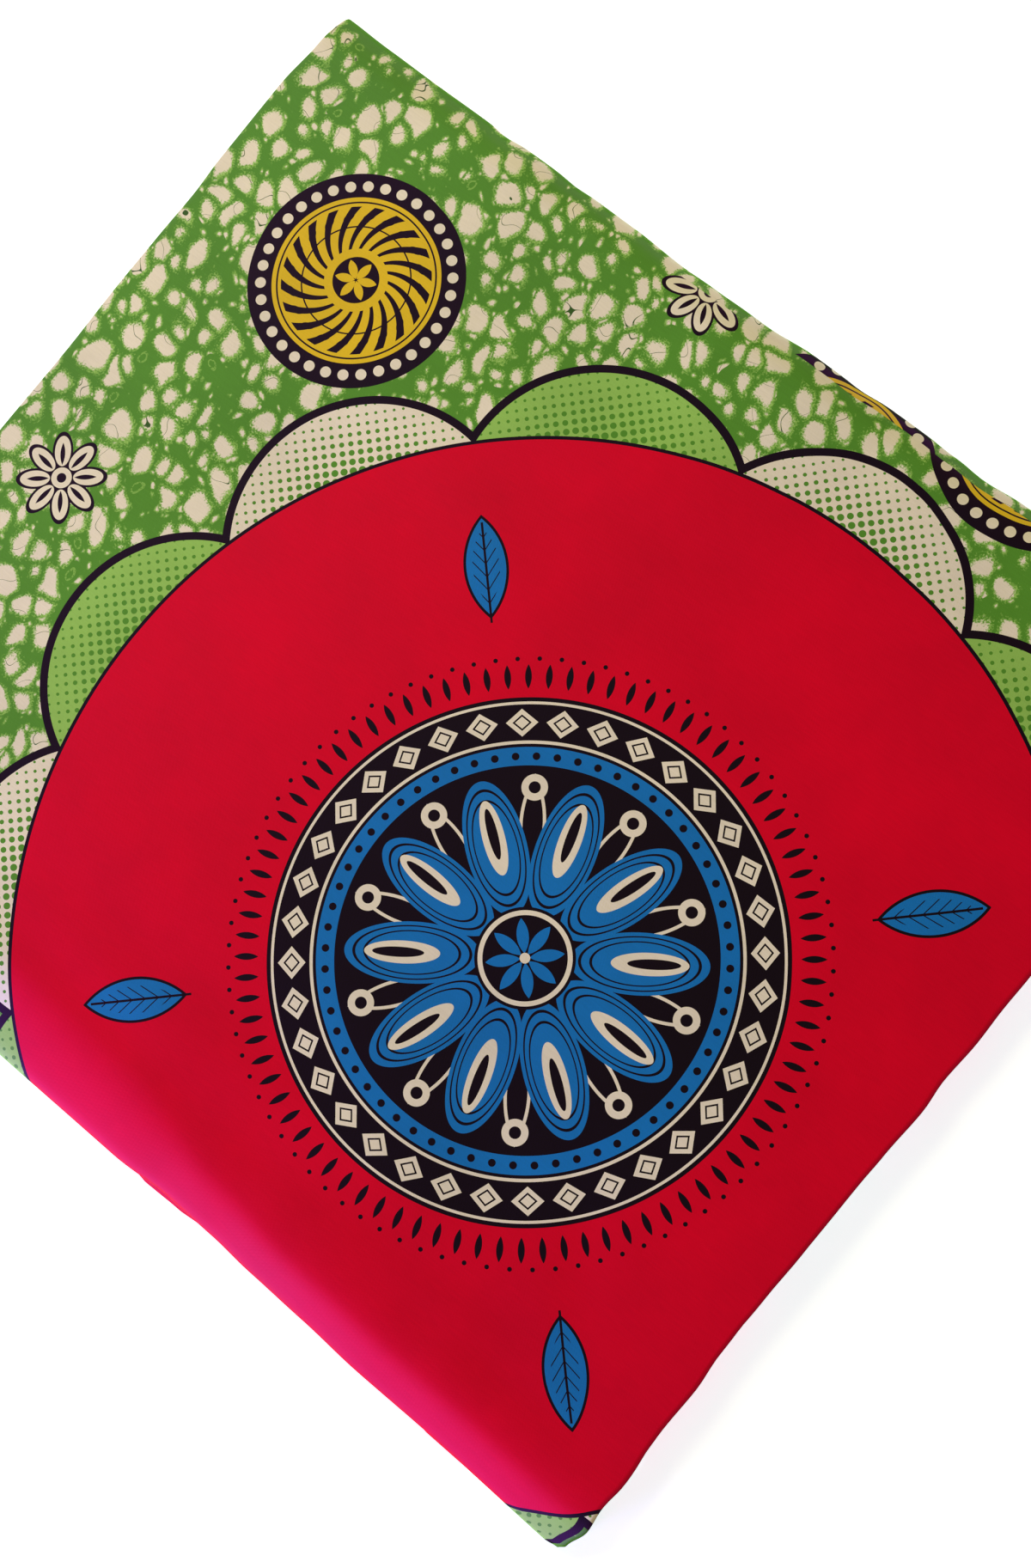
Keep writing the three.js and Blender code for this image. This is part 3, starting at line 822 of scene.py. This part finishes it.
def cloth_material(name, groups, roughness=0.55):
    """Printed cotton: the print, slightly uneven, on a plain weave."""
    material = bpy.data.materials.new(name)
    material.use_nodes = True
    tree = material.node_tree
    tree.nodes.clear()
    s = Sums(tree)
    coordinates = s.outputs_of(s.node("ShaderNodeUVMap", uv_map="Cloth"))["UV"]
    printed = s.group(groups["print"], Cloth=coordinates)
    cloth = printed["Cloth mm"]
    weave = s.group(groups["weave"], Cloth=cloth)
    patches = s.noise(Vector=cloth, Scale=PATCHES_SCALE, Detail=3.0, Roughness=0.6)["Fac"]
    shade = s.math("MULTIPLY_ADD", patches, PATCHES_SHADE, DARKEST_SHADE)
    shade = s.math("MULTIPLY_ADD", weave["Shade"], THREAD_SHADE, shade)
    bump = s.outputs_of(s.node("ShaderNodeBump"), Strength=WEAVE_STRENGTH,
                        Distance=WEAVE_DEPTH, Height=weave["Height"])
    # The bloom of calendered cotton grows as the cloth turns away from the eye, and is
    # gone where it is seen from a low angle
    facing = s.outputs_of(s.node("ShaderNodeLayerWeight"), Blend=0.5)["Facing"]
    bloom = s.math("MULTIPLY_ADD", facing, BLOOM_GROWTH, BLOOM_LEAST)
    fading = s.math("MULTIPLY_ADD", facing, FADING_GROWTH, FADING_FROM)
    surface = s.node("ShaderNodeBsdfPrincipled")
    s.put(surface.inputs["Base Color"], s.scale(printed["Color"], shade))
    s.put(surface.inputs["Roughness"], s.math(
        "MULTIPLY_ADD", patches, PATCHES_ROUGH, roughness - PATCHES_ROUGH / 2))
    s.put(surface.inputs["Normal"], bump["Normal"])
    s.put(surface.inputs["Specular IOR Level"], COTTON_SHINE)
    s.put(surface.inputs["Sheen Weight"], s.math("MINIMUM", bloom, fading, clamp=True))
    s.put(surface.inputs["Sheen Roughness"], BLOOM_ROUGHNESS)
    s.put(surface.inputs["Sheen Tint"], BLOOM_TINT)
    out = s.node("ShaderNodeOutputMaterial")
    s.put(out.inputs["Surface"], Value(s, surface.outputs[0]))
    return material


def plain_material(name, colour, roughness, glow):
    material = bpy.data.materials.new(name)
    material.use_nodes = True
    surface = material.node_tree.nodes["Principled BSDF"]
    surface.inputs["Base Color"].default_value = (*colour, 1.0)
    surface.inputs["Roughness"].default_value = roughness
    surface.inputs["Specular IOR Level"].default_value = 0.2
    surface.inputs["Emission Color"].default_value = (*glow, 1.0)
    surface.inputs["Emission Strength"].default_value = 1.0
    material.cycles.emission_sampling = "NONE"
    return material


# ---------------------------------------------------------------- settings
def linear(r, g, b):
    """A screen colour, 0 to 255, as Blender's own linear one."""
    return tuple(((c / 255 + 0.055) / 1.055) ** 2.4 if c > 10 else c / 255 / 12.92
                 for c in (r, g, b))


def length_property(name, description, default):
    return bpy.props.FloatProperty(
        name=name, description=description, default=default, min=0.0,
        unit="LENGTH", subtype="DISTANCE")


def colour_property(name, description, default):
    return bpy.props.FloatVectorProperty(
        name=name, description=description, default=linear(*default), size=3,
        min=0.0, max=1.0, subtype="COLOR")


class FabricSizes(bpy.types.PropertyGroup):
    cloth_width: length_property("Cloth width", "Selvage to selvage, lying open", 1.168)
    depth: length_property("Bundle depth", "From the front fold to the back fold", 0.534)
    height: length_property("Bundle height", "Ten turns of doubled cloth", 0.016)
    ply: length_property("Cloth thickness", "One ply of the cotton", 0.00035)


class PrintColours(bpy.types.PropertyGroup):
    red: colour_property("Red", "The field inside the scalloped edge", (231, 0, 38))
    green: colour_property("Green", "The ground between the pebbles", (90, 159, 48))
    pale: colour_property("Pale green", "Rims and half of the crescents", (156, 214, 106))
    cream: colour_property("Cream", "Cloth that the dye leaves bare", (246, 245, 235))
    blue: colour_property("Blue", "Petals and leaves", (20, 128, 222))
    yellow: colour_property("Yellow", "Sunbursts", (238, 208, 30))
    black: colour_property("Black", "Outlines", (16, 13, 6))


class StageSettings(bpy.types.PropertyGroup):
    room: bpy.props.FloatProperty(
        name="Room light", description="Even light from all round", default=0.30, min=0.0)
    lamp: bpy.props.FloatProperty(
        name="Lamp", description="Warm softbox on the left", default=16.0, min=0.0,
        unit="POWER")
    window: bpy.props.FloatProperty(
        name="Window", description="Low cool light from the front left", default=47.0,
        min=0.0, unit="POWER")


def sizes_of(scene):
    """The sizes in millimetres."""
    given = scene.fabric_sizes
    return {
        "half_w": given.cloth_width / 4 / MM,
        "half_d": given.depth / 2 / MM,
        "height": given.height / MM,
        "ply": given.ply / MM,
    }


def shared_groups(scene):
    """The print and weave groups, made once for all three materials."""
    colours = {ink: (*getattr(scene.print_colours, ink), 1.0) for ink in INKS}
    have = bpy.data.node_groups
    return {
        "print": have.get("Wax print") or print_group(colours),
        "weave": have.get("Cotton weave") or weave_group(),
    }


class FABRIC_OT_top_stretch(bpy.types.Operator):
    """Folds the stretch that shows, from the underside round both folds"""

    bl_idname = "fabric.top_stretch"
    bl_label = "Fold the top stretch"

    def execute(self, context):
        sizes = sizes_of(context.scene)
        groups = shared_groups(context.scene)
        rows = wind([
            ("underside", LAP_END, FLAT_FROM, 6, 0.0),
            ("back_lower", 0.0, 1.0, 9, 0.0),
            ("back_upper", 0.0, 1.0, 16, 0.0),
            ("top", 0.0, 1.0, 112, 0.0),
            ("front_upper", 0.0, 1.0, 24, 0.0),
            ("front_lower", 0.0, 1.0, 9, 0.0),
            ("underside", -FLAT_FROM, -TUCK_END, 9, PITCH),
        ])

        def ends(_, along):
            return 0.0, 0.0, 0.5 * wave(along, 2.1)

        ob, length = sheet_object(
            "top_stretch_cloth", rows, finer_ends(*TOP_ACROSS),
            finer_ends(*TUCKED_ACROSS), sizes, ends, start=TOP_START)
        ob.data.materials.append(cloth_material("Printed cotton, top", groups))
        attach(ob, "root")
        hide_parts("top_stretch")
        return {"FINISHED"}


class FABRIC_OT_under_stretch(bpy.types.Operator):
    """Lays the stretch that the bundle rests on, out to the cloth's free end"""

    bl_idname = "fabric.under_stretch"
    bl_label = "Lay the under stretch"

    def execute(self, context):
        sizes = sizes_of(context.scene)
        groups = shared_groups(context.scene)
        front = -sizes["half_d"]
        rows = wind([
            ("underside", front, front + PEEPS_OUT, 8, 0.0),
            ("underside", front + PEEPS_OUT, LAP_END - CUT_GAP, 46, 0.0),
        ])
        across = finer_ends(*UNDER_ACROSS)

        def ends(_, along):
            return 0.6, 0.8 + 0.5 * wave(along, 0.4), 0.5 * wave(along, 5.2)

        ob, length = sheet_object(
            "under_stretch_cloth", rows, across, across, sizes, ends, free_end=True,
            start=UNDER_START)
        ob.data.materials.append(cloth_material("Printed cotton, under", groups))
        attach(ob, "root")
        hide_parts("under_stretch")
        return {"FINISHED"}


class FABRIC_OT_hidden_turns(bpy.types.Operator):
    """Winds the turns inside the bundle, which show only at its two ends"""

    bl_idname = "fabric.hidden_turns"
    bl_label = "Wind the hidden turns"

    def execute(self, context):
        sizes = sizes_of(context.scene)
        groups = shared_groups(context.scene)
        legs = []
        for turn in range(1, HIDDEN_TURNS + 1):
            depth = PITCH * turn
            start = -TUCK_END + CUT_GAP if turn == 1 else -FLAT_FROM
            legs += [
                ("underside", start, FLAT_FROM, 20, depth),
                ("back_lower", 0.0, 1.0, 4, depth),
                ("back_upper", 0.0, 1.0, 8, depth),
                ("top", 0.0, 1.0, 20, depth),
            ]
            if turn < HIDDEN_TURNS:
                legs += [
                    ("front_upper", 0.0, 1.0, 10, depth),
                    ("front_lower", 0.0, 1.0, 4, depth),
                ]
        rows = wind(legs)
        across = finer_ends(*TURNS_ACROSS)

        def ends(share, along):
            at = share * HIDDEN_TURNS - 0.5  # the middle of the first turn is 0
            centre, selvage = (np.interp(at, range(HIDDEN_TURNS), column)
                               for column in zip(*TURN_ENDS))
            return (centre + 0.35 * wave(along, 1.3), selvage + 0.8 * wave(along, 3.1),
                    0.9 * wave(along, 4.4) - 0.8)

        ob, length = sheet_object(
            "hidden_turns_cloth", rows, across, across, sizes, ends, start=TURNS_START)
        ob.data.materials.append(
            cloth_material("Printed cotton, turns", groups, roughness=0.7))
        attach(ob, "root")
        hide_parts("hidden_turns")
        return {"FINISHED"}


# The camera: where it stands, and which way is right and down in its picture
CAMERA_AT = (0.22785, -0.01617, 0.97514)
CAMERA_RIGHT = (0.76685, 0.62749, -0.13492)
CAMERA_DOWN = (0.61316, -0.77835, -0.13492)
PICTURE_HEIGHT, FOCAL_PIXELS = 1825.0, 2310.0
SENSOR = 36.0
NEAREST, FARTHEST = 0.01, 50.0

# Where each light stands, how wide it is, and its colour
LAMP_AT, LAMP_WIDTH, LAMP_COLOUR = (-1.3, 0.25, 1.25), 0.9, (1.0, 0.91, 0.62)
WINDOW_AT, WINDOW_WIDTH, WINDOW_COLOUR = (-0.35, -1.6, 0.14), 0.5, (0.47, 0.34, 1.0)
ROOM_COLOUR, BACKDROP_COLOUR = (1.0, 0.80, 0.42, 1.0), (0.86, 0.88, 0.89, 1.0)

# The floor is a square this far out each way, and just clear of the cloth
FLOOR_HALF, FLOOR_Z = 8.0, -0.0003
FLOOR_COLOUR, FLOOR_GLOW, FLOOR_ROUGHNESS = (0.93, 0.93, 0.93), (0.62, 0.70, 0.80), 0.9


class FABRIC_OT_stage(bpy.types.Operator):
    """Sets out the floor, the lights and the camera"""

    bl_idname = "fabric.stage"
    bl_label = "Set the stage"

    def execute(self, context):
        scene = context.scene
        given = scene.fabric_stage
        scene.view_settings.view_transform = "Standard"
        mesh = bpy.data.meshes.new("floor")
        corners = [(x * FLOOR_HALF, y * FLOOR_HALF, FLOOR_Z)
                   for x, y in ((-1, -1), (1, -1), (1, 1), (-1, 1))]
        mesh.from_pydata(corners, [], [(0, 1, 2, 3)])
        floor = bpy.data.objects.new("floor", mesh)
        floor.data.materials.append(
            plain_material("Pale floor", FLOOR_COLOUR, FLOOR_ROUGHNESS, FLOOR_GLOW))
        scene.collection.objects.link(floor)

        scene.world = self.room(given.room)

        self.area(scene, "lamp", LAMP_AT, LAMP_WIDTH, given.lamp, LAMP_COLOUR)
        self.area(scene, "window", WINDOW_AT, WINDOW_WIDTH, given.window, WINDOW_COLOUR)

        data = bpy.data.cameras.new("camera")
        data.sensor_width = SENSOR
        data.lens = FOCAL_PIXELS * SENSOR / PICTURE_HEIGHT
        data.clip_start, data.clip_end = NEAREST, FARTHEST
        camera = bpy.data.objects.new("camera", data)
        right = Vector(CAMERA_RIGHT).normalized()
        up = -Vector(CAMERA_DOWN)
        up = (up - right * up.dot(right)).normalized()
        turn = Matrix((right, up, right.cross(up))).transposed()
        camera.matrix_world = Matrix.Translation(CAMERA_AT) @ turn.to_4x4()
        scene.collection.objects.link(camera)
        scene.camera = camera
        return {"FINISHED"}

    def room(self, strength):
        """Warm light from all round, before a pale backdrop."""
        world = bpy.data.worlds.new("Room")
        world.use_nodes = True
        s = Sums(world.node_tree)
        lit = world.node_tree.nodes["Background"]
        lit.inputs["Color"].default_value = ROOM_COLOUR
        lit.inputs["Strength"].default_value = strength
        seen = s.node("ShaderNodeBackground")
        seen.inputs["Color"].default_value = BACKDROP_COLOUR
        path, either = s.node("ShaderNodeLightPath"), s.node("ShaderNodeMixShader")
        links = world.node_tree.links
        links.new(path.outputs["Is Camera Ray"], either.inputs[0])
        links.new(lit.outputs[0], either.inputs[1])
        links.new(seen.outputs[0], either.inputs[2])
        links.new(either.outputs[0], world.node_tree.nodes["World Output"].inputs[0])
        return world

    def area(self, scene, name, at, size, power, colour):
        data = bpy.data.lights.new(name, "AREA")
        data.shape = "DISK"
        data.size = size
        data.energy = power
        data.color = colour
        lamp = bpy.data.objects.new(name, data)
        lamp.location = at
        lamp.rotation_mode = "QUATERNION"
        lamp.rotation_quaternion = Vector(at).to_track_quat("Z", "Y")
        scene.collection.objects.link(lamp)


class FABRIC_PT_panel(bpy.types.Panel):
    bl_idname = "FABRIC_PT_panel"
    bl_label = "Folded wax print fabric"
    bl_space_type = "VIEW_3D"
    bl_region_type = "UI"
    bl_category = "Fabric"

    def draw(self, context):
        for settings in ("fabric_sizes", "print_colours", "fabric_stage"):
            given = getattr(context.scene, settings)
            for name in given.__annotations__:
                self.layout.prop(given, name)
        for operator in OPERATORS:
            self.layout.operator(operator.bl_idname)


OPERATORS = (
    FABRIC_OT_stage,
    FABRIC_OT_under_stretch,
    FABRIC_OT_hidden_turns,
    FABRIC_OT_top_stretch,
)
CLASSES = (FabricSizes, PrintColours, StageSettings, *OPERATORS, FABRIC_PT_panel)
SETTINGS = {
    "fabric_sizes": FabricSizes,
    "print_colours": PrintColours,
    "fabric_stage": StageSettings,
}


def register():
    for made in CLASSES:
        bpy.utils.register_class(made)
    for name, kind in SETTINGS.items():
        setattr(bpy.types.Scene, name, bpy.props.PointerProperty(type=kind))


def unregister():
    for name in SETTINGS:
        delattr(bpy.types.Scene, name)
    for made in reversed(CLASSES):
        bpy.utils.unregister_class(made)


def main():
    register()
    for operator in OPERATORS:
        group, name = operator.bl_idname.split(".")
        getattr(getattr(bpy.ops, group), name)()


if __name__ == "__main__":
    main()
